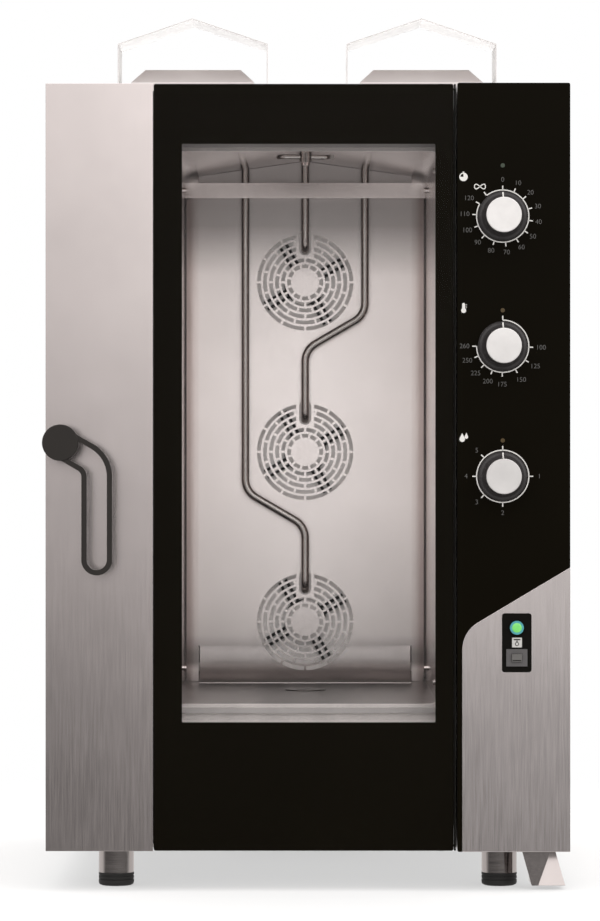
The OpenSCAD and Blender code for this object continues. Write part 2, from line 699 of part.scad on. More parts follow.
// Timer, thermostat and humidity regulator behind the knobs, with the board and terminals below
module control_electronics() color("darkgreen") placed() {
    for (z = knob_z) difference() {
        union() {
            block([knob_x - 22, 10, z - 22], [knob_x + 22, 48, z + 22]);
            rod_y(9, control_t, 11, knob_x, z);
        }
        rod_y(spindle_r + 0.08, 0, 26, knob_x, z);
    }
    block([345, 120, 420], [347, 420, 640]);
    for (y = [130, 410], z = [430, 630]) rod_x(4, 346.5, half_w - sheet, y, z);
    for (i = [0:3]) block([325, 150 + i * 65, 450], [345.5, 185 + i * 65, 485]);
    for (i = [0:2]) rod_x(11, 320, 345.5, 170 + i * 90, 590);
    block([325, 690, 300], [half_w - sheet, 790, 330]);
}

// Pilot lamps over the knobs
module indicator_lenses() color("olive") placed() for (z = lamp_z) {
    rod_y(lamp_r, -0.5, control_t + 2, knob_x, z);
}

// Plate with the power and reset buttons, and the reset button's square bezel
module switch_plate() color("black") placed() difference() {
    union() {
        slab(-2, 0) rounded(plate, 4);
        slab(0, 8) rect(plate, -3.2);
        slab(-3.5, -2) rect(reset);
        rod_y(power_r + 1.4, -3, 0, switch_x, power_z);
    }
    slab(-5, 9) rect(reset_key, 0.4);
    rod_y(power_r - 0.6, -5, 9, switch_x, power_z);
}
module power_button() color("limegreen") placed() union() {
    rod_y(power_r - 0.9, -6, 2, switch_x, power_z);
    rod_y(4, 2, 12, switch_x, power_z);
}
module reset_button() color("dimgray") placed() union() {
    slab(-6.5, 2) rect(reset_key);
    rod_y(4, 2, 12, switch_x, (reset_key[1] + reset_key[3]) / 2);
}

// Knob with a pointer line and its spindle, at height z
module knob(z) translate([knob_x, 0, z]) {
    rotate([90, 0, 0]) rotate_extrude() polygon([[0, 1], [knob_r, 1], [knob_r, 3], [knob_r - 2, 6],
        [knob_r - 5, 9], [knob_r - 7.5, 13], [25, 18], [24.6, 36], [0, 36]]);
    rod_y(spindle_r, -2, 20, 0, 0);
}
module knob_cap(z) translate([knob_x, 0, z]) rotate([90, 0, 0]) translate([0, 0, 36])
    rotate_extrude() polygon([[0, 0], [24.4, 0], [24.4, 1.2], [23.4, 2.2], [0, 2.2]]);
module timer_knob() color("dimgray") placed() knob(knob_z[0]);
module temperature_knob() color("dimgray") placed() knob(knob_z[1]);
module humidity_knob() color("dimgray") placed() knob(knob_z[2]);
module timer_knob_cap() color("silver") placed() knob_cap(knob_z[0]);
module temperature_knob_cap() color("silver") placed() knob_cap(knob_z[1]);
module humidity_knob_cap() color("silver") placed() knob_cap(knob_z[2]);

// ---------------------------------------------------------------- door

// Pressed tray that holds the two panes and turns on the hinge pins
module door_frame() color("silver") placed() difference() {
    union() {
        difference() {
            block([frame_left, frame_front, frame_bottom], [frame_right, frame_back, frame_top]);
            block([frame_left + sheet, frame_front - 1, frame_bottom + sheet],
                [frame_right - sheet, frame_back - sheet, frame_top - sheet]);
        }
        slab(frame_front, frame_back) rect(aperture, sheet);
    }
    slab(frame_front - 1, frame_back + 1) rect(aperture);
    rod_y(handle_shaft_r + 0.5, frame_front, frame_back + 1, hub_x, hub_z);
    for (z = [frame_bottom, frame_top]) rod_z(pin_r + 1, z - 3, z + 3, pin_x, pin_y);
}

module door_outer_glass() color("black") placed()
    slab(0, glass_t) rounded([glass_left, base_z + 1, glass_right, top_z - 1], 3);

module door_inner_glass() color("lightcyan") placed() slab(frame_back, door_t) rounded(pane, 6);

module door_steel_panel() color("silver") placed() difference() {
    union() {
        block([-half_w, 0, base_z + 1], [glass_left - 0.6, sheet, top_z - 1]);
        block([-half_w, 0, base_z + 1], [-half_w + sheet, frame_back, top_z - 1]);
        block([glass_left - 0.6 - sheet, 0, base_z + 1], [glass_left - 0.6, frame_front, top_z - 1]);
    }
    rod_y(handle_shaft_r + 0.5, -1, sheet + 1, hub_x, hub_z);
}

// Blocks in the door that turn on the pins
module hinge_blocks() color("gray") placed() for (z = [frame_bottom + sheet, frame_top - sheet - 24]) difference() {
    block([pin_x - 12, frame_front, z], [frame_right - sheet, 22, z + 24]);
    rod_z(pin_r + 0.05, z - 1, z + 25, pin_x, pin_y);
}

// Outline of a hinge bracket in X and Y: round at the pin, wide where it meets the front frame
module bracket_outline() {
    inner = [-20, frame_y - pin_y];
    outer = [-75, frame_y - pin_y];
    a_in = atan2(inner[1], inner[0]) + asin(bracket_r / norm(inner)) - 90;
    a_out = atan2(outer[1], outer[0]) - asin(bracket_r / norm(outer)) + 90;
    r = bracket_r - 0.1;
    translate([pin_x, pin_y]) {
        circle(bracket_r);
        polygon([[r * cos(a_in), r * sin(a_in)], inner, outer, [r * cos(a_out), r * sin(a_out)]]);
    }
}
module hinge_brackets() color("gray") placed() {
    for (top = [false, true]) {
        z = top ? top_z - 1 - bracket_t : base_z + 1;
        translate([0, 0, z]) linear_extrude(bracket_t) bracket_outline();
        block([pin_x - 75, frame_y - 3, top ? z - 24 : z], [pin_x - 20, frame_y, top ? z + bracket_t : z + 30]);
        rod_z(pin_r, top ? frame_top - 22 : z, top ? z + bracket_t : frame_bottom + 22, pin_x, pin_y);
    }
}

// Shaft of the handle with the latch arm behind the door
module latch_cam() color("gray") placed() translate([hub_x, 0, hub_z]) {
    rod_y(handle_shaft_r, 1 - handle_reach + 28, 58.5, 0, 0);
    rod_y(11, 58.5, 62.5, 0, 0);
    block([0, 58.5, -7], [34, 62.5, 7]);
}
module latch_keeper() color("silver") placed()
    block([hub_x + 20, 58.5, hub_z - 18], [hub_x + 42, frame_y, hub_z - 8]);

// Round hub of the handle with its neck
module handle_hub() color("darkslategray") placed() translate([hub_x, 0, hub_z]) difference() {
    rotate([90, 0, 0]) rotate_extrude() polygon([[0, 0.4], [15, 0.4], [15, 4], [12, 6],
        [12, handle_reach - 22], [hub_r - 5, handle_reach - 20], [hub_r, handle_reach - 18],
        [hub_r, handle_reach - 1], [hub_r - 1, handle_reach], [0, handle_reach]]);
    rod_y(handle_shaft_r, 1 - handle_reach + 28, 1, 0, 0);
}

// Grip: one bar that leaves the hub, bends down, turns and comes back.
// Its curves are a little wider than its straights, which run 1 mm into them
module handle_loop() color("darkslategray") placed() translate([hub_x, 0, hub_z]) {
    half = 17.5;
    w = 7;
    wide = w / 2 + 0.1;
    bend = 30;
    c = [20, -46.2];
    foot = -161;
    dir = [-cos(30), sin(30)];
    y1 = -handle_reach + 2;
    y2 = y1 + 14;
    difference() {
        translate([0, y2, 0]) rotate([90, 0, 0]) {
            for (s = [-1, 1]) {
                r = bend + s * half;
                p = c + r * [sin(30), cos(30)];
                translate([c[0], c[1], 0]) sector(r - wide, r + wide, 0, y2 - y1, 0, 60);
                bar(p - dir, p + 50 * dir, w, 0, y2 - y1);
                bar([c[0] + r, foot - 1], [c[0] + r, c[1] + 1], w, 0, y2 - y1);
            }
            translate([c[0] + bend, foot, 0]) sector(half - wide, half + wide, 0, y2 - y1, 180, 360);
        }
        rod_y(hub_r, y1 - 1, y2 + 1, 0, 0);
        block([-60, y1 - 1, -60], [0, y2 + 1, 60]);
    }
}

// Seal around the mouth of the chamber
module door_gasket() color("darkslategray") placed() slab(gasket_y, frame_y) difference() {
    rounded([chamber_l - 13, floor_z - 13, chamber_r + 13, opening_top_z + 13], 20);
    rounded([chamber_l - 5, floor_z - 5, chamber_r + 5, opening_top_z + 5], 12);
}

// ---------------------------------------------------------------- small parts

// Folded chute with a slotted ear, under the right-hand end of the cabinet
module drain_chute() color("silver") placed() {
    foot = 6;
    top = base_z;
    difference() {
        union() {
            chute_solid(0, foot, top);
            block([298, 28, top - 1.5], [361, 84, top]);
            slab(28, 29.5) polygon([[299, top], [340, top], [322, foot], [313, foot]]);
            block([312, 28, foot + 2], [313.5, 84, top]);
        }
        chute_solid(1.5, foot - 1, top - 1.5);
        block([311, 48, 22], [315, 66, 42]);
        for (z = [22, 42]) rod_x(9, 311, 315, 57, z);
    }
}
module chute_solid(g, z1, z2) {
    lo = [[318 + g, 29 + g], [360 - g, 29 + g], [360 - g, 80 - g], [318 + g, 80 - g]];
    hi = [[335 + g, 40 + g], [346 - g, 40 + g], [346 - g, 70 - g], [335 + g, 70 - g]];
    polyhedron([for (p = lo) [p[0], p[1], z1], for (p = hi) [p[0], p[1], z2]],
        [[0, 1, 2, 3], [4, 5, 1, 0], [5, 6, 2, 1], [6, 7, 3, 2], [7, 4, 0, 3], [7, 6, 5, 4]]);
}

// Screws of the rear panel and of the draught hoods
module panel_screws() color("silver") placed() {
    for (p = rear_screws) {
        rod_y(4.5, cabinet_d, cabinet_d + 2.2, p[0], p[1]);
        rod_y(screw_r, rear_y - 6, cabinet_d, p[0], p[1]);
    }
    for (p = hood_screws) {
        rod_z(4.5, top_z + sheet, top_z + sheet + 2.2, p[0], p[1]);
        rod_z(screw_r, top_z - 4, top_z + sheet, p[0], p[1]);
    }
}

// ---------------------------------------------------------------- what is drawn

base_pan();
left_side_panel();
right_side_panel();
rear_panel();
top_panel();
front_frame();
cavity_wrap();
cavity_floor();
cavity_rear_wall();
cavity_insulation();
air_baffle();
pipe_retainer_rail();
spray_pipe_upper();
spray_pipe_middle();
spray_pipe_lower();
fan_motors();
heat_exchangers();
gas_train();
flue_bases();
draught_hoods();
foot_sleeves();
door_gasket();
control_box();
control_glass();
control_steel_cover();
control_electronics();
mains_gland();
water_valves();
drain_pipe();
drain_strainer();
hinge_brackets();
latch_keeper();
drain_chute();
panel_screws();
switch_plate();
indicator_lenses();
door_frame();
door_outer_glass();
door_inner_glass();
door_steel_panel();
hinge_blocks();
latch_cam();
handle_hub();
handle_loop();
fan_wheel_upper();
fan_wheel_middle();
fan_wheel_lower();
power_button();
reset_button();
timer_knob();
temperature_knob();
humidity_knob();
timer_knob_cap();
temperature_knob_cap();
humidity_knob_cap();
foot_front_left();
foot_front_right();
foot_rear_left();
foot_rear_right();
wash_arm();
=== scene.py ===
import math

import bpy
import bmesh
from mathutils import Matrix, Vector


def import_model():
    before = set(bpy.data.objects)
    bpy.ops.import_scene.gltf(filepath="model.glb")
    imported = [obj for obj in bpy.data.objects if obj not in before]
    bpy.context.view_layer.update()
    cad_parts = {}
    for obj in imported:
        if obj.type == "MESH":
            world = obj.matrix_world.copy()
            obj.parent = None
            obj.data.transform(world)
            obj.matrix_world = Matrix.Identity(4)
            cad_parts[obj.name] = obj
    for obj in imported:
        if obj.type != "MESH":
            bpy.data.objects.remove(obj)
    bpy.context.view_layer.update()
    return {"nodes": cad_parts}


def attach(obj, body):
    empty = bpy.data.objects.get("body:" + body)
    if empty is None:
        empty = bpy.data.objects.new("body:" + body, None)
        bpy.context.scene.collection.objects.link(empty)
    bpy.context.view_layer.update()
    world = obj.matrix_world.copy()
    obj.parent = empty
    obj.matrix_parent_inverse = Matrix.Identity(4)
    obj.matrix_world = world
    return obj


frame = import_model()
NODES = frame["nodes"]
FRONT = -0.396  # y of the front face of the door, in metres
MM = 0.001


def at(x, depth, z):
    """A point given in millimetres: x, depth behind the front face, height."""
    return Vector((x * MM, FRONT + depth * MM, z * MM))


# ------------------------------------------------------------------ materials

def new_material(name):
    m = bpy.data.materials.new(name)
    m.use_nodes = True
    return m, m.node_tree, m.node_tree.nodes["Principled BSDF"]


def noise(nt, scale, size=(1, 1, 1), detail=3.0, rough=0.55):
    """A noise in object space; size stretches its cells along x, y and z."""
    co = nt.nodes.new("ShaderNodeTexCoord")
    mp = nt.nodes.new("ShaderNodeMapping")
    mp.inputs["Scale"].default_value = size
    n = nt.nodes.new("ShaderNodeTexNoise")
    n.inputs["Scale"].default_value = scale
    n.inputs["Detail"].default_value = detail
    n.inputs["Roughness"].default_value = rough
    nt.links.new(co.outputs["Object"], mp.inputs["Vector"])
    nt.links.new(mp.outputs["Vector"], n.inputs["Vector"])
    return n.outputs["Fac"]


def spread(nt, value, lo, hi, from_lo=0.3, from_hi=0.7):
    """Stretches a value's range from_lo..from_hi to lo..hi, and holds it at both ends."""
    r = nt.nodes.new("ShaderNodeMapRange")
    r.inputs["From Min"].default_value = from_lo
    r.inputs["From Max"].default_value = from_hi
    r.inputs["To Min"].default_value = lo
    r.inputs["To Max"].default_value = hi
    nt.links.new(value, r.inputs["Value"])
    return r.outputs["Result"]


def tint(nt, value, a, b, lo=0.35, hi=0.65):
    """Colour a where the value is low, colour b where it is high."""
    r = nt.nodes.new("ShaderNodeValToRGB")
    r.color_ramp.elements[0].position = lo
    r.color_ramp.elements[0].color = (*a, 1)
    r.color_ramp.elements[1].position = hi
    r.color_ramp.elements[1].color = (*b, 1)
    nt.links.new(value, r.inputs["Fac"])
    return r.outputs["Color"]


def bump(nt, bsdf, value, strength, distance):
    b = nt.nodes.new("ShaderNodeBump")
    b.inputs["Strength"].default_value = strength
    b.inputs["Distance"].default_value = distance
    nt.links.new(value, b.inputs["Height"])
    nt.links.new(b.outputs["Normal"], bsdf.inputs["Normal"])


def steel(name, base, rough, grain=(1, 1, 1), grain_scale=900, depth=0.00003, vary=0.06):
    """Stainless steel with fine drawn lines along the axis where grain is small."""
    m, nt, b = new_material(name)
    lines = noise(nt, grain_scale, grain, 2.0)
    cloud = noise(nt, 7.0, (1, 1, 1), 4.0)
    nt.links.new(spread(nt, lines, rough - vary, rough + vary), b.inputs["Roughness"])
    dark = tuple(c * 0.93 for c in base)
    nt.links.new(tint(nt, cloud, dark, base), b.inputs["Base Color"])
    bump(nt, b, lines, 0.25, depth)
    b.inputs["Metallic"].default_value = 1.0
    return m


def paint_shade_along(m, axis, stops):
    """Paints light and shade into a look's colour along one axis by multiplying it: stops hold (metres,
    factor), in rising order.
    """
    nt = m.node_tree
    b = nt.nodes["Principled BSDF"]
    plain = b.inputs["Base Color"].links[0].from_socket
    co = nt.nodes.new("ShaderNodeTexCoord")
    sep = nt.nodes.new("ShaderNodeSeparateXYZ")
    nt.links.new(co.outputs["Object"], sep.inputs[0])
    lo = stops[0][0]
    hi = stops[-1][0]
    along = spread(nt, sep.outputs[axis], 0.0, 1.0, lo, hi)
    ramp = nt.nodes.new("ShaderNodeValToRGB")
    marks = ramp.color_ramp.elements
    while len(marks) < len(stops):
        marks.new(0.5)
    for mark, (where, factor) in zip(marks, stops):
        mark.position = (where - lo) / (hi - lo)
        mark.color = (factor, factor, factor, 1)
    nt.links.new(along, ramp.inputs[0])
    mix = nt.nodes.new("ShaderNodeMix")
    mix.data_type = "RGBA"
    mix.blend_type = "MULTIPLY"
    mix.inputs[0].default_value = 1.0
    nt.links.new(plain, mix.inputs[6])
    nt.links.new(ramp.outputs[0], mix.inputs[7])
    nt.links.new(mix.outputs[2], b.inputs["Base Color"])
    return m


def plastic(name, base, rough, grain=3500, depth=0.00004, spec=0.4, metal=0.0):
    """Moulded plastic, paint, rubber or satin sheet with a fine even grain."""
    m, nt, b = new_material(name)
    fine = noise(nt, grain, (1, 1, 1), 2.0)
    soft = noise(nt, 25, (1, 1, 1), 3.0)
    light = tuple(min(1.0, c * 1.12) for c in base)
    nt.links.new(tint(nt, soft, base, light), b.inputs["Base Color"])
    nt.links.new(spread(nt, fine, rough - 0.05, rough + 0.05), b.inputs["Roughness"])
    bump(nt, b, fine, 0.3, depth)
    b.inputs["Specular IOR Level"].default_value = spec
    b.inputs["Metallic"].default_value = metal
    return m


def glossy_black(name, base, rough, spec):
    """Black print seen through glass: nearly even, with very slight cloudiness in its gloss."""
    m, nt, b = new_material(name)
    soft = noise(nt, 4, (1, 1, 1), 3.0)
    light = tuple(c * 1.15 for c in base)
    nt.links.new(tint(nt, soft, base, light), b.inputs["Base Color"])
    nt.links.new(spread(nt, soft, rough, rough + 0.03), b.inputs["Roughness"])
    b.inputs["Specular IOR Level"].default_value = spec
    return m


def clear_glass(name, colour, alpha, rough=0.02):
    """Thin clear glass that shows as its gloss and a faint smear."""
    m, nt, b = new_material(name)
    smear = noise(nt, 9, (1, 1, 1), 4.0)
    nt.links.new(tint(nt, smear, colour, tuple(c * 0.97 for c in colour)), b.inputs["Base Color"])
    nt.links.new(spread(nt, smear, rough, rough + 0.03), b.inputs["Roughness"])
    b.inputs["Alpha"].default_value = alpha
    b.inputs["IOR"].default_value = 1.5
    m.surface_render_method = "BLENDED"
    return m


def glowing(m, colour, strength):
    """Lets a look give off a little light."""
    b = m.node_tree.nodes["Principled BSDF"]
    b.inputs["Emission Color"].default_value = (*colour, 1)
    b.inputs["Emission Strength"].default_value = strength
    return m


def lens(name, base, glow, strength):
    """A coloured plastic lens with a faint light behind it."""
    m, nt, b = new_material(name)
    soft = noise(nt, 300, (1, 1, 1), 2.0)
    light = tuple(min(1.0, c * 1.15) for c in base)
    nt.links.new(tint(nt, soft, base, light), b.inputs["Base Color"])
    b.inputs["Roughness"].default_value = 0.25
    return glowing(m, glow, strength)


BRUSHED = steel("brushed_steel_upright", (0.79, 0.715, 0.70), 0.19, (1, 1, 0.02), depth=0.000006, vary=0.025)
# painted shade on the door's steel: darker towards the bottom and towards the left edge
paint_shade_along(BRUSHED, "Z", ((0.06, 0.80), (0.50, 0.97), (1.12, 0.97)))
paint_shade_along(BRUSHED, "X", ((-0.364, 0.86), (-0.22, 1.0)))
# the lower cover: the door's brushed steel painted lighter, with painted shade towards the bottom
BRUSHED_LOW = steel("brushed_steel_low", (0.98, 0.90, 0.885), 0.19, (1, 1, 0.02), depth=0.000006, vary=0.025)
paint_shade_along(BRUSHED_LOW, "Z", ((0.06, 0.88), (0.42, 1.0)))
BRUSHED_SIDE = steel("brushed_steel_side", (0.68, 0.62, 0.605), 0.33, (1, 0.02, 1))
BRUSHED_TOP = steel("brushed_steel_top", (0.68, 0.635, 0.625), 0.36, (0.02, 1, 1))
FRAME_STEEL = steel("front_frame_steel", (0.68, 0.65, 0.63), 0.30, (0.02, 1, 1))
CHAMBER = steel("chamber_steel", (0.72, 0.655, 0.635), 0.20, (1, 1, 0.03), vary=0.03)
BAFFLE = steel("baffle_steel", (0.82, 0.755, 0.735), 0.38, (1, 1, 0.03), vary=0.03)
# painted shade and painted reflection: darker at the round foot, and again under the chamber's ceiling
paint_shade_along(BAFFLE, "Z", ((0.24, 0.48), (0.262, 0.55), (0.277, 0.70), (0.287, 0.31), (0.30, 0.33), (0.33, 0.70),
                    (0.385, 0.80), (0.54, 0.94), (0.70, 1.0), (0.885, 1.0), (0.965, 0.43)))
FLOOR_STEEL = steel("chamber_floor_steel", (0.115, 0.105, 0.10), 0.30, (0.03, 1, 1), vary=0.03)
POLISHED = steel("polished_steel", (0.74, 0.72, 0.70), 0.14, (1, 1, 1), 300, vary=0.02)
FOOT_STEEL = steel("foot_sleeve_steel", (0.50, 0.455, 0.44), 0.16, (0.02, 0.02, 1), 1500, vary=0.03)
PIPE = steel("spray_pipe_steel", (0.36, 0.335, 0.32), 0.24, (1, 1, 0.05), vary=0.03)
ZINC = steel("zinc_sheet", (0.55, 0.55, 0.55), 0.42, (1, 1, 1), 60, vary=0.08)
HEAT = steel("heat_tinted_steel", (0.62, 0.57, 0.54), 0.32, (1, 1, 0.2), 80)
HOOD = plastic("hood_satin_steel", (0.90, 0.89, 0.88), 0.45, 1200, 0.00003, 0.6)
MOUTH = plastic("mouth_satin_steel", (0.80, 0.745, 0.725), 0.30, 1200, 0.00001, 0.6, metal=0.5)
CHUTE = steel("chute_steel", (0.44, 0.40, 0.39), 0.20, (1, 1, 1), 300, depth=0.00001, vary=0.02)
FAN = plastic("fan_steel", (0.86, 0.82, 0.80), 0.45, 400, 0.00002, 0.5, metal=0.3)
glowing(FAN, (1.0, 0.95, 0.93), 0.08)  # painted light: the fans glow faintly, though they are no lamp, as they stand in the dark behind the grilles
BRASS = steel("machined_brass", (0.62, 0.45, 0.20), 0.28, (1, 0.05, 1), 900)
CAP = plastic("knob_cap_silver", (0.80, 0.775, 0.76), 0.45, 900, 0.00003, 0.5)
# painted shade: the silver knob caps are darker the lower they sit
paint_shade_along(CAP, "Z", ((0.58, 0.70), (0.76, 0.85), (0.94, 0.93)))
BLACK = glossy_black("black_ceramic_print", (0.0048, 0.0038, 0.0022), 0.10, 0.01)
PANEL_BLACK = glossy_black("black_panel_glass", (0.0048, 0.0038, 0.0022), 0.10, 0.02)
OUTER = clear_glass("outer_glass_clear", (0.02, 0.02, 0.02), 0.05)
INNER = clear_glass("inner_glass_clear", (0.03, 0.03, 0.03), 0.05)
KNOB = plastic("knob_black", (0.030, 0.027, 0.027), 0.38, spec=0.5)
HANDLE = plastic("handle_black", (0.0135, 0.0105, 0.0085), 0.42, spec=0.32)
PLATE = plastic("switch_plate_black", (0.0045, 0.004, 0.003), 0.45, spec=0.05)
GLAND = plastic("gland_black", (0.015, 0.015, 0.015), 0.45)
GREY = plastic("reset_grey", (0.11, 0.105, 0.10), 0.45)
RIB_SHADOW = plastic("fan_rib_shadow", (0.006, 0.005, 0.005), 0.6)
EDGE = plastic("cut_sheet_edge", (0.66, 0.64, 0.63), 0.6)
BEZEL = plastic("bezel_grey", (0.085, 0.08, 0.08), 0.45)
RUBBER = plastic("foot_rubber", (0.020, 0.019, 0.018), 0.60, 1200, 0.00008, 0.3)
SILICONE = plastic("gasket_silicone", (0.46, 0.43, 0.42), 0.55, 900, 0.0001, 0.3)
MOTOR = plastic("motor_paint", (0.02, 0.022, 0.025), 0.5, 600, 0.0001)
BOARD = plastic("board_green", (0.015, 0.07, 0.03), 0.5)
WOOL = plastic("mineral_wool", (0.42, 0.36, 0.20), 0.95, 180, 0.002, 0.1)
PRINT = plastic("dial_print_white", (0.74, 0.72, 0.69), 0.5)
DIM_PRINT = plastic("dial_print_grey", (0.12, 0.115, 0.11), 0.5)
LABEL = plastic("label_white", (0.50, 0.49, 0.47), 0.6)
TEAL = lens("power_ring_teal", (0.06, 0.24, 0.27), (0.05, 0.30, 0.33), 0.25)
GREEN = lens("power_lens_green", (0.13, 0.45, 0.11), (0.16, 0.62, 0.12), 0.35)
LAMP = lens("pilot_lens", (0.05, 0.03, 0.006), (0.4, 0.2, 0.02), 0.02)
LAMP_GREEN = lens("pilot_lens_green", (0.03, 0.04, 0.025), (0.1, 0.3, 0.1), 0.02)

LOOKS = {
    "base_pan": ZINC, "left_side_panel": BRUSHED_SIDE, "right_side_panel": BRUSHED_SIDE,
    "rear_panel": ZINC, "top_panel": BRUSHED_TOP, "front_frame": MOUTH,
    "cavity_wrap": CHAMBER, "cavity_floor": FLOOR_STEEL, "cavity_rear_wall": CHAMBER,
    "cavity_insulation": WOOL, "air_baffle": BAFFLE, "pipe_retainer_rail": CHAMBER,
    "spray_pipe_upper": PIPE, "spray_pipe_middle": PIPE, "spray_pipe_lower": PIPE,
    "fan_motors": MOTOR, "heat_exchangers": HEAT, "gas_train": BRASS,
    "flue_bases": BRUSHED_TOP, "draught_hoods": HOOD, "foot_sleeves": FOOT_STEEL,
    "door_gasket": SILICONE, "control_box": ZINC, "control_glass": PANEL_BLACK,
    "control_steel_cover": BRUSHED_LOW, "control_electronics": BOARD, "mains_gland": GLAND,
    "water_valves": BRASS, "drain_pipe": POLISHED, "drain_strainer": FLOOR_STEEL,
    "hinge_brackets": PLATE, "latch_keeper": POLISHED, "drain_chute": CHUTE,
    "panel_screws": POLISHED, "switch_plate": PLATE, "indicator_lenses": LAMP,
    "door_frame": FRAME_STEEL, "door_outer_glass": OUTER, "door_inner_glass": INNER,
    "door_steel_panel": BRUSHED, "hinge_blocks": ZINC, "latch_cam": POLISHED,
    "handle_hub": HANDLE, "handle_loop": HANDLE, "fan_wheel_upper": FAN,
    "fan_wheel_middle": FAN, "fan_wheel_lower": FAN, "power_button": TEAL,
    "reset_button": GREY, "timer_knob": KNOB, "temperature_knob": KNOB, "humidity_knob": KNOB,
    "timer_knob_cap": CAP, "temperature_knob_cap": CAP, "humidity_knob_cap": CAP,
    "foot_front_left": RUBBER, "foot_front_right": RUBBER, "foot_rear_left": RUBBER,
    "foot_rear_right": RUBBER, "wash_arm": PIPE,
}
for node, look in LOOKS.items():
    NODES[node].data.materials.clear()
    NODES[node].data.materials.append(look)


SHARP = 35  # degrees: edges that turn by more are rounded


def soften(node, width, segments=2):
    """Rounded edges on a CAD node: its vertices are merged, then bevelled where it turns sharply."""
    o = NODES[node]
    weld = o.modifiers.new("weld", "WELD")
    weld.merge_threshold = 0.00001
    bev = o.modifiers.new("bevel", "BEVEL")
    bev.width = width * MM
    bev.segments = segments
    bev.limit_method = "ANGLE"
    bev.angle_limit = math.radians(SHARP)
    bev.harden_normals = True


for node, width in (("door_steel_panel", 0.5), ("control_steel_cover", 0.4), ("handle_loop", 2.4),
                    ("handle_hub", 0.8), ("drain_chute", 0.3), ("switch_plate", 0.5),
                    ("reset_button", 0.6), ("timer_knob_cap", 0.3), ("temperature_knob_cap", 0.3),
                    ("humidity_knob_cap", 0.3), ("front_frame", 0.5), ("pipe_retainer_rail", 0.4),
                    ("draught_hoods", 0.3), ("flue_bases", 0.4)):
    soften(node, width, 3 if width > 2 else 2)

# painted shadow: the faces of the fans' stiffening ribs, between the wheel's hub and its blades, are painted
# near black as the shadow in the gaps
FAN_X = -3
RIB_R = (29.5, 71)
RIB_DEPTH = (679.9, 695.9)
for node, z in (("fan_wheel_upper", 877), ("fan_wheel_middle", 614), ("fan_wheel_lower", 350.5)):
    wheel = NODES[node].data
    wheel.materials.append(RIB_SHADOW)
    for face in wheel.polygons:
        c = face.center
        r = math.hypot(c.x / MM - FAN_X, c.z / MM - z)
        depth = (c.y - FRONT) / MM
        if RIB_R[0] < r < RIB_R[1] and RIB_DEPTH[0] < depth < RIB_DEPTH[1]:
            face.material_index = 1

# cut edges of the draught hoods, grey against the bright sheet
hoods = NODES["draught_hoods"].data
hoods.materials.append(EDGE)
for face in hoods.polygons:
    if face.normal.y < -0.9:
        face.material_index = 1

# the green lens of the upper pilot lamp
lamps = NODES["indicator_lenses"].data
lamps.materials.append(LAMP_GREEN)
for face in lamps.polygons:
    if face.center.z > 0.9:
        face.material_index = 1


# ------------------------------------------------------------------ shapes

def as_mesh(obj, name):
    """The evaluated shape of a curve or text object, as a mesh object whose origin is the model's."""
    dg = bpy.context.evaluated_depsgraph_get()
    mesh = bpy.data.meshes.new_from_object(obj.evaluated_get(dg))
    mesh.transform(obj.matrix_world)
    out = bpy.data.objects.new(name, mesh)
    bpy.context.collection.objects.link(out)
    bpy.data.objects.remove(obj)
    return out


UPRIGHT = Matrix.Rotation(math.radians(90), 4, "X")


def flat(name, outlines, depth, thick, look, body):
    """Closed outlines in x and z, in millimetres, filled with even-odd holes, facing the front.
    depth is where the front face lies."""
    cu = bpy.data.curves.new(name, "CURVE")
    cu.dimensions = "2D"
    cu.fill_mode = "BOTH"
    cu.extrude = thick * MM / 2
    for pts in outlines:
        sp = cu.splines.new("POLY")
        sp.points.add(len(pts) - 1)
        for p, (x, z) in zip(sp.points, pts):
            p.co = (x * MM, z * MM, 0, 1)
        sp.use_cyclic_u = True
    ob = bpy.data.objects.new(name, cu)
    bpy.context.collection.objects.link(ob)
    ob.matrix_world = Matrix.Translation(at(0, depth + thick / 2, 0)) @ UPRIGHT
    bpy.context.view_layer.update()
    out = as_mesh(ob, name)
    out.data.materials.append(look)
    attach(out, body)
    return out


def writing(name, words, x, z, height, depth, thick, look, body):
    """Numbers on a dial, centred on x and z."""
    cu = bpy.data.curves.new(name, "FONT")
    cu.body = words
    cu.size = height * MM / 0.70
    cu.align_x = "CENTER"
    cu.align_y = "CENTER"
    cu.extrude = thick * MM / 2
    cu.resolution_u = 4
    cu.offset = -0.00012
    ob = bpy.data.objects.new(name, cu)
    bpy.context.collection.objects.link(ob)
    ob.matrix_world = Matrix.Translation(at(x, depth + thick / 2, z)) @ UPRIGHT
    bpy.context.view_layer.update()
    out = as_mesh(ob, name)
    out.data.materials.append(look)
    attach(out, body)
    return out


def circle_pts(x, z, r, n=48, a0=0.0, a1=360.0):
    """Points on a circle or, between a0 and a1 degrees counter-clockwise from the right, on an arc."""
    full = abs(a1 - a0) >= 360
    k = n if full else n + 1
    return [(x + r * math.cos(math.radians(a0 + (a1 - a0) * i / n)),
             z + r * math.sin(math.radians(a0 + (a1 - a0) * i / n))) for i in range(k)]


def rect_pts(x0, z0, x1, z1, r=0.0, n=8):
    """A rectangle with corners of radius r."""
    if r <= 0:
        return [(x0, z0), (x1, z0), (x1, z1), (x0, z1)]
    pts = []
    corners = ((x1 - r, z0 + r, -90), (x1 - r, z1 - r, 0), (x0 + r, z1 - r, 90), (x0 + r, z0 + r, 180))
    for cx, cz, a in corners:
        pts += circle_pts(cx, cz, r, n, a, a + 90)
    return pts


def clock_xy(x, z, r, degrees):
    """A point on a dial: degrees clockwise from the top."""
    a = math.radians(degrees)
    return (x + r * math.sin(a), z + r * math.cos(a))


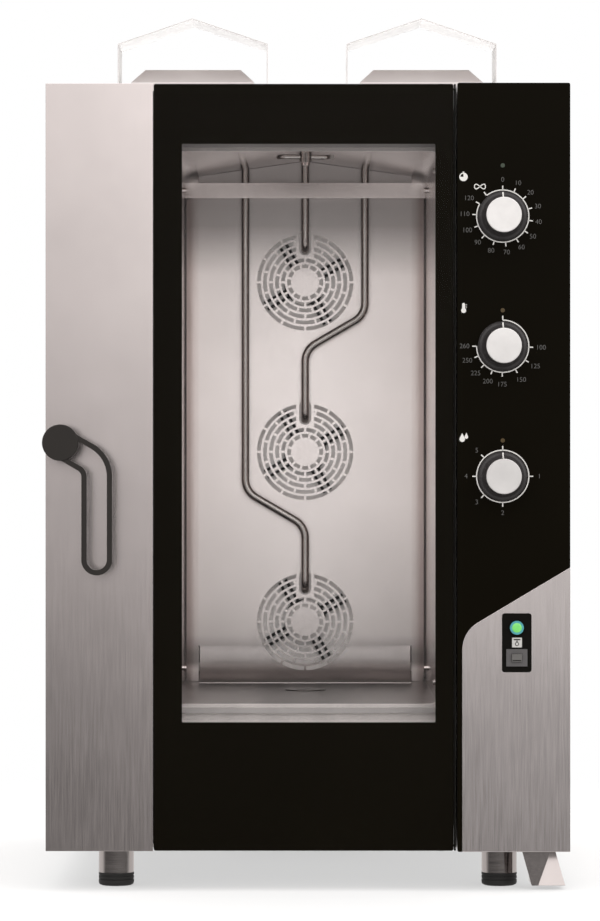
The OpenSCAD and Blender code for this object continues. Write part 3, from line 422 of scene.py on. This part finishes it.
def bar_pts(x, z, r0, r1, width, degrees):
    """A radial stroke on a dial."""
    a = math.radians(degrees)
    ux, uz = math.sin(a), math.cos(a)
    px, pz = uz * width / 2, -ux * width / 2
    return [(x + ux * r0 + px, z + uz * r0 + pz), (x + ux * r1 + px, z + uz * r1 + pz),
            (x + ux * r1 - px, z + uz * r1 - pz), (x + ux * r0 - px, z + uz * r0 - pz)]


def stroke_pts(path, width):
    """The outline of a line of that width along a path of x and z points."""
    left, right = [], []
    last = len(path) - 1
    for i, (x, z) in enumerate(path):
        before = path[max(i - 1, 0)]
        after = path[min(i + 1, last)]
        dx, dz = after[0] - before[0], after[1] - before[1]
        d = math.hypot(dx, dz)
        nx, nz = -dz / d * width / 2, dx / d * width / 2
        left.append((x + nx, z + nz))
        right.append((x - nx, z - nz))
    return left + right[::-1]


# ------------------------------------------------------------------ door

# black ceramic print behind the outer glass, with the window left clear
GLASS_LEFT, GLASS_RIGHT = -215, 203
GLASS_FOOT, GLASS_TOP = 57, 1125
EDGE_GAP = 0.3
flat("door_print",
     [rect_pts(GLASS_LEFT + EDGE_GAP, GLASS_FOOT + EDGE_GAP, GLASS_RIGHT - EDGE_GAP, GLASS_TOP - EDGE_GAP, 3),
      rect_pts(-175.3, 236, 177.4, 1041.3, 1.5)],
     4.3, 0.5, BLACK, "door")

# a black strip along the glass's edge beside the control column
flat("door_edge_black_strip", [rect_pts(GLASS_RIGHT + 0.05, GLASS_FOOT + 0.5, 205.9, GLASS_TOP - 0.5, 1)],
     3.2, 1.7, PLATE, "door")

# painted shade: a black strip on the front frame behind the gap
flat("gap_shade_strip", [rect_pts(199.5, GLASS_FOOT + 0.5, 214, GLASS_TOP - 0.5, 0.5)],
     65.6, 0.3, PLATE, "cabinet")

# ------------------------------------------------------------------ dials

INK = 0.25  # thickness of printed marks
DIAL_X = 271.0
TIMER_Z, TEMPERATURE_Z, HUMIDITY_Z = 940.5, 759.5, 578.5
RING_R = 36.3
LINE_W = 1.6
TICK_R = (36.6, 42.4)
NUMBER_H = 6.6
WIDE_NUMBER = 2.6  # numbers of three digits stand this much further out
ARC_STEPS = 96


def printed(name, outlines):
    """A white mark printed on the front of the cabinet."""
    flat(name, outlines, -INK, INK, PRINT, "cabinet")


def ring_arc(z, a0, a1):
    """Printed arc, degrees clockwise from the top, from a0 to a1."""
    r_out, r_in = RING_R + LINE_W / 2, RING_R - LINE_W / 2
    if a1 - a0 >= 360:
        return [circle_pts(DIAL_X, z, r_out, ARC_STEPS), circle_pts(DIAL_X, z, r_in, ARC_STEPS)]
    turn = (a1 - a0) / ARC_STEPS
    outer = [clock_xy(DIAL_X, z, r_out, a0 + turn * i) for i in range(ARC_STEPS + 1)]
    inner = [clock_xy(DIAL_X, z, r_in, a1 - turn * i) for i in range(ARC_STEPS + 1)]
    return [outer + inner]


def dial(name, z, a0, a1, ticks, numbers, number_r):
    """A dial's printed ring, its ticks, and its numbers as pairs of a word and an angle."""
    printed(name + "_ring", ring_arc(z, a0, a1))
    for i, a in enumerate(ticks):
        printed(f"{name}_tick_{i}", [bar_pts(DIAL_X, z, *TICK_R, LINE_W, a)])
    for words, a in numbers:
        r = number_r + (WIDE_NUMBER if len(words) > 2 else 0)
        nx, nz = clock_xy(DIAL_X, z, r, a)
        writing(f"{name}_number_{words}", words, nx, nz, NUMBER_H,
                -INK, INK, DIM_PRINT, "cabinet")


TEN_MINUTES = 24.83  # degrees on the timer
timer_numbers = [(str(10 * i), TEN_MINUTES * i) for i in range(13)]
dial("timer", TIMER_Z, -38, TEN_MINUTES * 12, [-38] + [a for _, a in timer_numbers], timer_numbers, 50.6)
temps = [("100", 92), ("125", 121.7), ("150", 151.3), ("175", 181),
         ("200", 203), ("225", 225), ("250", 248), ("260", 270)]
dial("temperature", TEMPERATURE_Z, 0, 270, [0] + [a for _, a in temps], temps, 50.6)
steps = [("1", 90), ("2", 180), ("3", 225), ("4", 270), ("5", 315)]
dial("humidity", HUMIDITY_Z, 0, 360, [0] + [a for _, a in steps], steps, 51.0)


def pointer(name, z, body):
    """A pointer line down the knob's skirt, from the cap to the foot."""
    half_width = 0.95
    skirt = [(-36.2, 24.2), (-18.2, 25.4), (-13.2, 27.4), (-9.1, 29.9), (-6.1, 32.9)]  # depth, radius
    bm = bmesh.new()
    rows = [[bm.verts.new(at(DIAL_X + s * half_width, depth, z + r)) for s in (-1, 1)] for depth, r in skirt]
    for a, b in zip(rows, rows[1:]):
        bm.faces.new((a[0], a[1], b[1], b[0]))
    me = bpy.data.meshes.new(name)
    bm.to_mesh(me)
    bm.free()
    ob = bpy.data.objects.new(name, me)
    bpy.context.collection.objects.link(ob)
    thick = ob.modifiers.new("thick", "SOLIDIFY")
    thick.thickness = 0.0003
    thick.offset = 0
    me.materials.append(PRINT)
    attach(ob, body)


pointer("timer_pointer", TIMER_Z, "timer_dial")
pointer("temperature_pointer", TEMPERATURE_Z, "temperature_dial")
pointer("humidity_pointer", HUMIDITY_Z, "humidity_dial")

# endless sign of the timer, in two halves that cross in the middle
loop = []
for i in range(64):
    t = 2 * math.pi * i / 64
    loop.append((239.3 + 7.6 * math.cos(t), 981.6 + 6.6 * math.sin(t) * math.cos(t)))
printed("timer_endless", [stroke_pts(loop[:33], 1.3)])
printed("timer_endless_b", [stroke_pts(loop[32:] + loop[:1], 1.3)])

# clock icon: a disc with a quarter left open, and a knob on top
CLOCK = (216.4, 995)
quarter = [CLOCK] + circle_pts(*CLOCK, 4.4, 12, 92, 178)
printed("icon_clock", [circle_pts(*CLOCK, 5.9), quarter])
printed("icon_clock_knob", [rect_pts(215.3, 1000.6, 217.5, 1002.4, 0.5)])

# thermometer icon
stem = circle_pts(216.6, 817.6, 2.1, 12, 0, 180)
bulb = circle_pts(216.6, 809.2, 3.5, 24, 126.9, 413.1)
printed("icon_thermometer", [stem + bulb])
printed("icon_thermometer_marks",
        [rect_pts(219.6, 812.6 + 2.3 * i, 221.2, 813.2 + 2.3 * i) for i in range(3)])


def drop(x, z, r, tall):
    """A drop: round below, pointed above."""
    return circle_pts(x, z, r, 28, 150, 390) + [(x, z + tall)]


printed("icon_drop_front", [drop(214.6, 630.2, 3.9, 8.4)])
printed("icon_drop_back", [drop(220.4, 633.2, 2.5, 6.0)])

# ------------------------------------------------------------------ switch plate

SWITCH_X = 290.5


def disc(name, x, z, depth, r, rise, look, body, rings=5, n=48):
    """A shallow dome facing the front."""
    bm = bmesh.new()
    top = bm.verts.new(at(x, depth - rise, z))
    prev = None
    for k in range(1, rings + 1):
        t = k / rings * math.pi / 2
        ring = [bm.verts.new(at(px, depth - rise * math.cos(t), pz))
                for px, pz in circle_pts(x, z, r * math.sin(t), n)]
        for i in range(n):
            j = (i + 1) % n
            if prev is None:
                bm.faces.new((top, ring[i], ring[j]))
            else:
                bm.faces.new((prev[i], ring[i], ring[j], prev[j]))
        prev = ring
    bmesh.ops.recalc_face_normals(bm, faces=bm.faces)
    me = bpy.data.meshes.new(name)
    bm.to_mesh(me)
    bm.free()
    for p in me.polygons:
        p.use_smooth = True
    ob = bpy.data.objects.new(name, me)
    bpy.context.collection.objects.link(ob)
    me.materials.append(look)
    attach(ob, body)
    return ob


disc("power_lens", SWITCH_X, 368, -6.0, 6.7, 0.8, GREEN, "power_switch")
flat("switch_label", [rect_pts(283.9, 340.6, 297.6, 354.2, 0.8)],
     -2.35, 0.35, LABEL, "cabinet")
flat("switch_label_ring", [circle_pts(290.7, 345.4, 2.8, 24), circle_pts(290.7, 345.4, 1.9, 24)],
     -2.45, 0.12, PLATE, "cabinet")
flat("switch_label_lines", [rect_pts(286.2, 350.6, 295.4, 352.2), rect_pts(289.6, 348.6, 291.8, 350.0)],
     -2.45, 0.12, PLATE, "cabinet")
# the bezel round the reset button is the part of the plate that stands proud below the label
plate = NODES["switch_plate"].data
plate.materials.append(BEZEL)
for face in plate.polygons:
    depth = (face.center.y - FRONT) / MM
    if depth < -2.02 and face.center.z / MM < 339:
        face.material_index = 1
# painted shadow: a thin black strip below the reset button's raised key
flat("reset_painted_shadow", [rect_pts(284.6, 321.9, 296.4, 323.1)],
     -6.65, 0.2, PLATE, "reset_switch")

# ------------------------------------------------------------------ floor, light, camera

def floor():
    """A round pale floor whose rim fades out into the backdrop."""
    bm = bmesh.new()
    bmesh.ops.create_circle(bm, cap_ends=True, radius=6.0, segments=96)
    me = bpy.data.meshes.new("floor")
    bm.to_mesh(me)
    bm.free()
    ob = bpy.data.objects.new("floor", me)
    bpy.context.collection.objects.link(ob)
    m, nt, b = new_material("pale_floor")
    b.inputs["Base Color"].default_value = (0.92, 0.92, 0.92, 1)
    b.inputs["Roughness"].default_value = 0.9
    b.inputs["Specular IOR Level"].default_value = 0.0
    co = nt.nodes.new("ShaderNodeTexCoord")
    ln = nt.nodes.new("ShaderNodeVectorMath")
    ln.operation = "LENGTH"
    nt.links.new(co.outputs["Object"], ln.inputs[0])
    nt.links.new(spread(nt, ln.outputs["Value"], 0.5, 0.0, 0.5, 1.6), b.inputs["Alpha"])
    me.materials.append(m)
    ob.visible_glossy = False


floor()


def world():
    """Even studio light: bright above and behind, dim in front below eye level, white behind the object."""
    w = bpy.data.worlds.new("studio")
    bpy.context.scene.world = w
    w.use_nodes = True
    nt = w.node_tree
    nt.nodes.clear()
    out = nt.nodes.new("ShaderNodeOutputWorld")
    rig = nt.nodes.new("ShaderNodeBackground")
    white = nt.nodes.new("ShaderNodeBackground")
    white.inputs["Color"].default_value = (1, 1, 1, 1)
    white.inputs["Strength"].default_value = 1.0
    mix = nt.nodes.new("ShaderNodeMixShader")
    path = nt.nodes.new("ShaderNodeLightPath")
    nt.links.new(path.outputs["Is Camera Ray"], mix.inputs["Fac"])
    nt.links.new(rig.outputs[0], mix.inputs[1])
    nt.links.new(white.outputs[0], mix.inputs[2])
    nt.links.new(mix.outputs[0], out.inputs["Surface"])
    co = nt.nodes.new("ShaderNodeTexCoord")
    sep = nt.nodes.new("ShaderNodeSeparateXYZ")
    nt.links.new(co.outputs["Generated"], sep.inputs[0])

    def math_node(op, a, b=None, clamp=False):
        n = nt.nodes.new("ShaderNodeMath")
        n.operation = op
        n.use_clamp = clamp
        for i, v in enumerate((a, b)):
            if v is None:
                continue
            if isinstance(v, (int, float)):
                n.inputs[i].default_value = v
            else:
                nt.links.new(v, n.inputs[i])
        return n.outputs[0]

    def smooth(value, lo, hi, to_lo, to_hi):
        r = nt.nodes.new("ShaderNodeMapRange")
        r.interpolation_type = "SMOOTHSTEP"
        r.inputs["From Min"].default_value = lo
        r.inputs["From Max"].default_value = hi
        r.inputs["To Min"].default_value = to_lo
        r.inputs["To Max"].default_value = to_hi
        nt.links.new(value, r.inputs["Value"])
        return r.outputs["Result"]

    rise = spread(nt, sep.outputs["Z"], 0.02, 1.75, -0.095, 0.20)
    floor_glow = spread(nt, sep.outputs["Z"], 0.0, 0.62, -0.12, -0.24)
    upper = math_node("ADD", rise, floor_glow)
    side = smooth(sep.outputs["X"], -0.7, 0.7, 0.85, 1.2)
    front = math_node("MULTIPLY", upper, side)
    back = smooth(sep.outputs["Z"], -0.5, 0.3, 0.55, 1.05)
    blend_y = smooth(sep.outputs["Y"], -0.35, 0.25, 0.0, 1.0)
    m = nt.nodes.new("ShaderNodeMix")
    m.data_type = "FLOAT"
    nt.links.new(blend_y, m.inputs[0])
    nt.links.new(front, m.inputs[2])
    nt.links.new(back, m.inputs[3])
    nt.links.new(m.outputs[0], rig.inputs["Strength"])
    rig.inputs["Color"].default_value = (1.0, 0.985, 0.975, 1)


world()


def area(name, loc, aim, size_x, size_y, power):
    la = bpy.data.lights.new(name, "AREA")
    la.shape = "RECTANGLE"
    la.size = size_x
    la.size_y = size_y
    la.energy = power
    ob = bpy.data.objects.new(name, la)
    bpy.context.collection.objects.link(ob)
    ob.location = loc
    ob.rotation_euler = (aim - loc).to_track_quat("-Z", "Y").to_euler()
    ob.visible_camera = False
    return ob


# chamber light, spread over the mouth of the chamber
area("chamber_light", at(-3, 64, 645), at(-3, 300, 645), 0.34, 0.74, 0.62)

# light from behind on the undersides of the draught hoods
area("hood_fill", at(0, 1900, 700), at(0, 675, 1280), 1.3, 0.6, 9.0)

cam = bpy.data.cameras.new("camera")
cam.sensor_width = 36.0
cam.lens = 154.55
cam.clip_end = 100
camera = bpy.data.objects.new("camera", cam)
bpy.context.collection.objects.link(camera)
camera.location = at(-11, -5500, 600.5)
camera.rotation_euler = (math.radians(90), 0, 0)
bpy.context.scene.camera = camera
bpy.context.scene.view_settings.view_transform = "Standard"
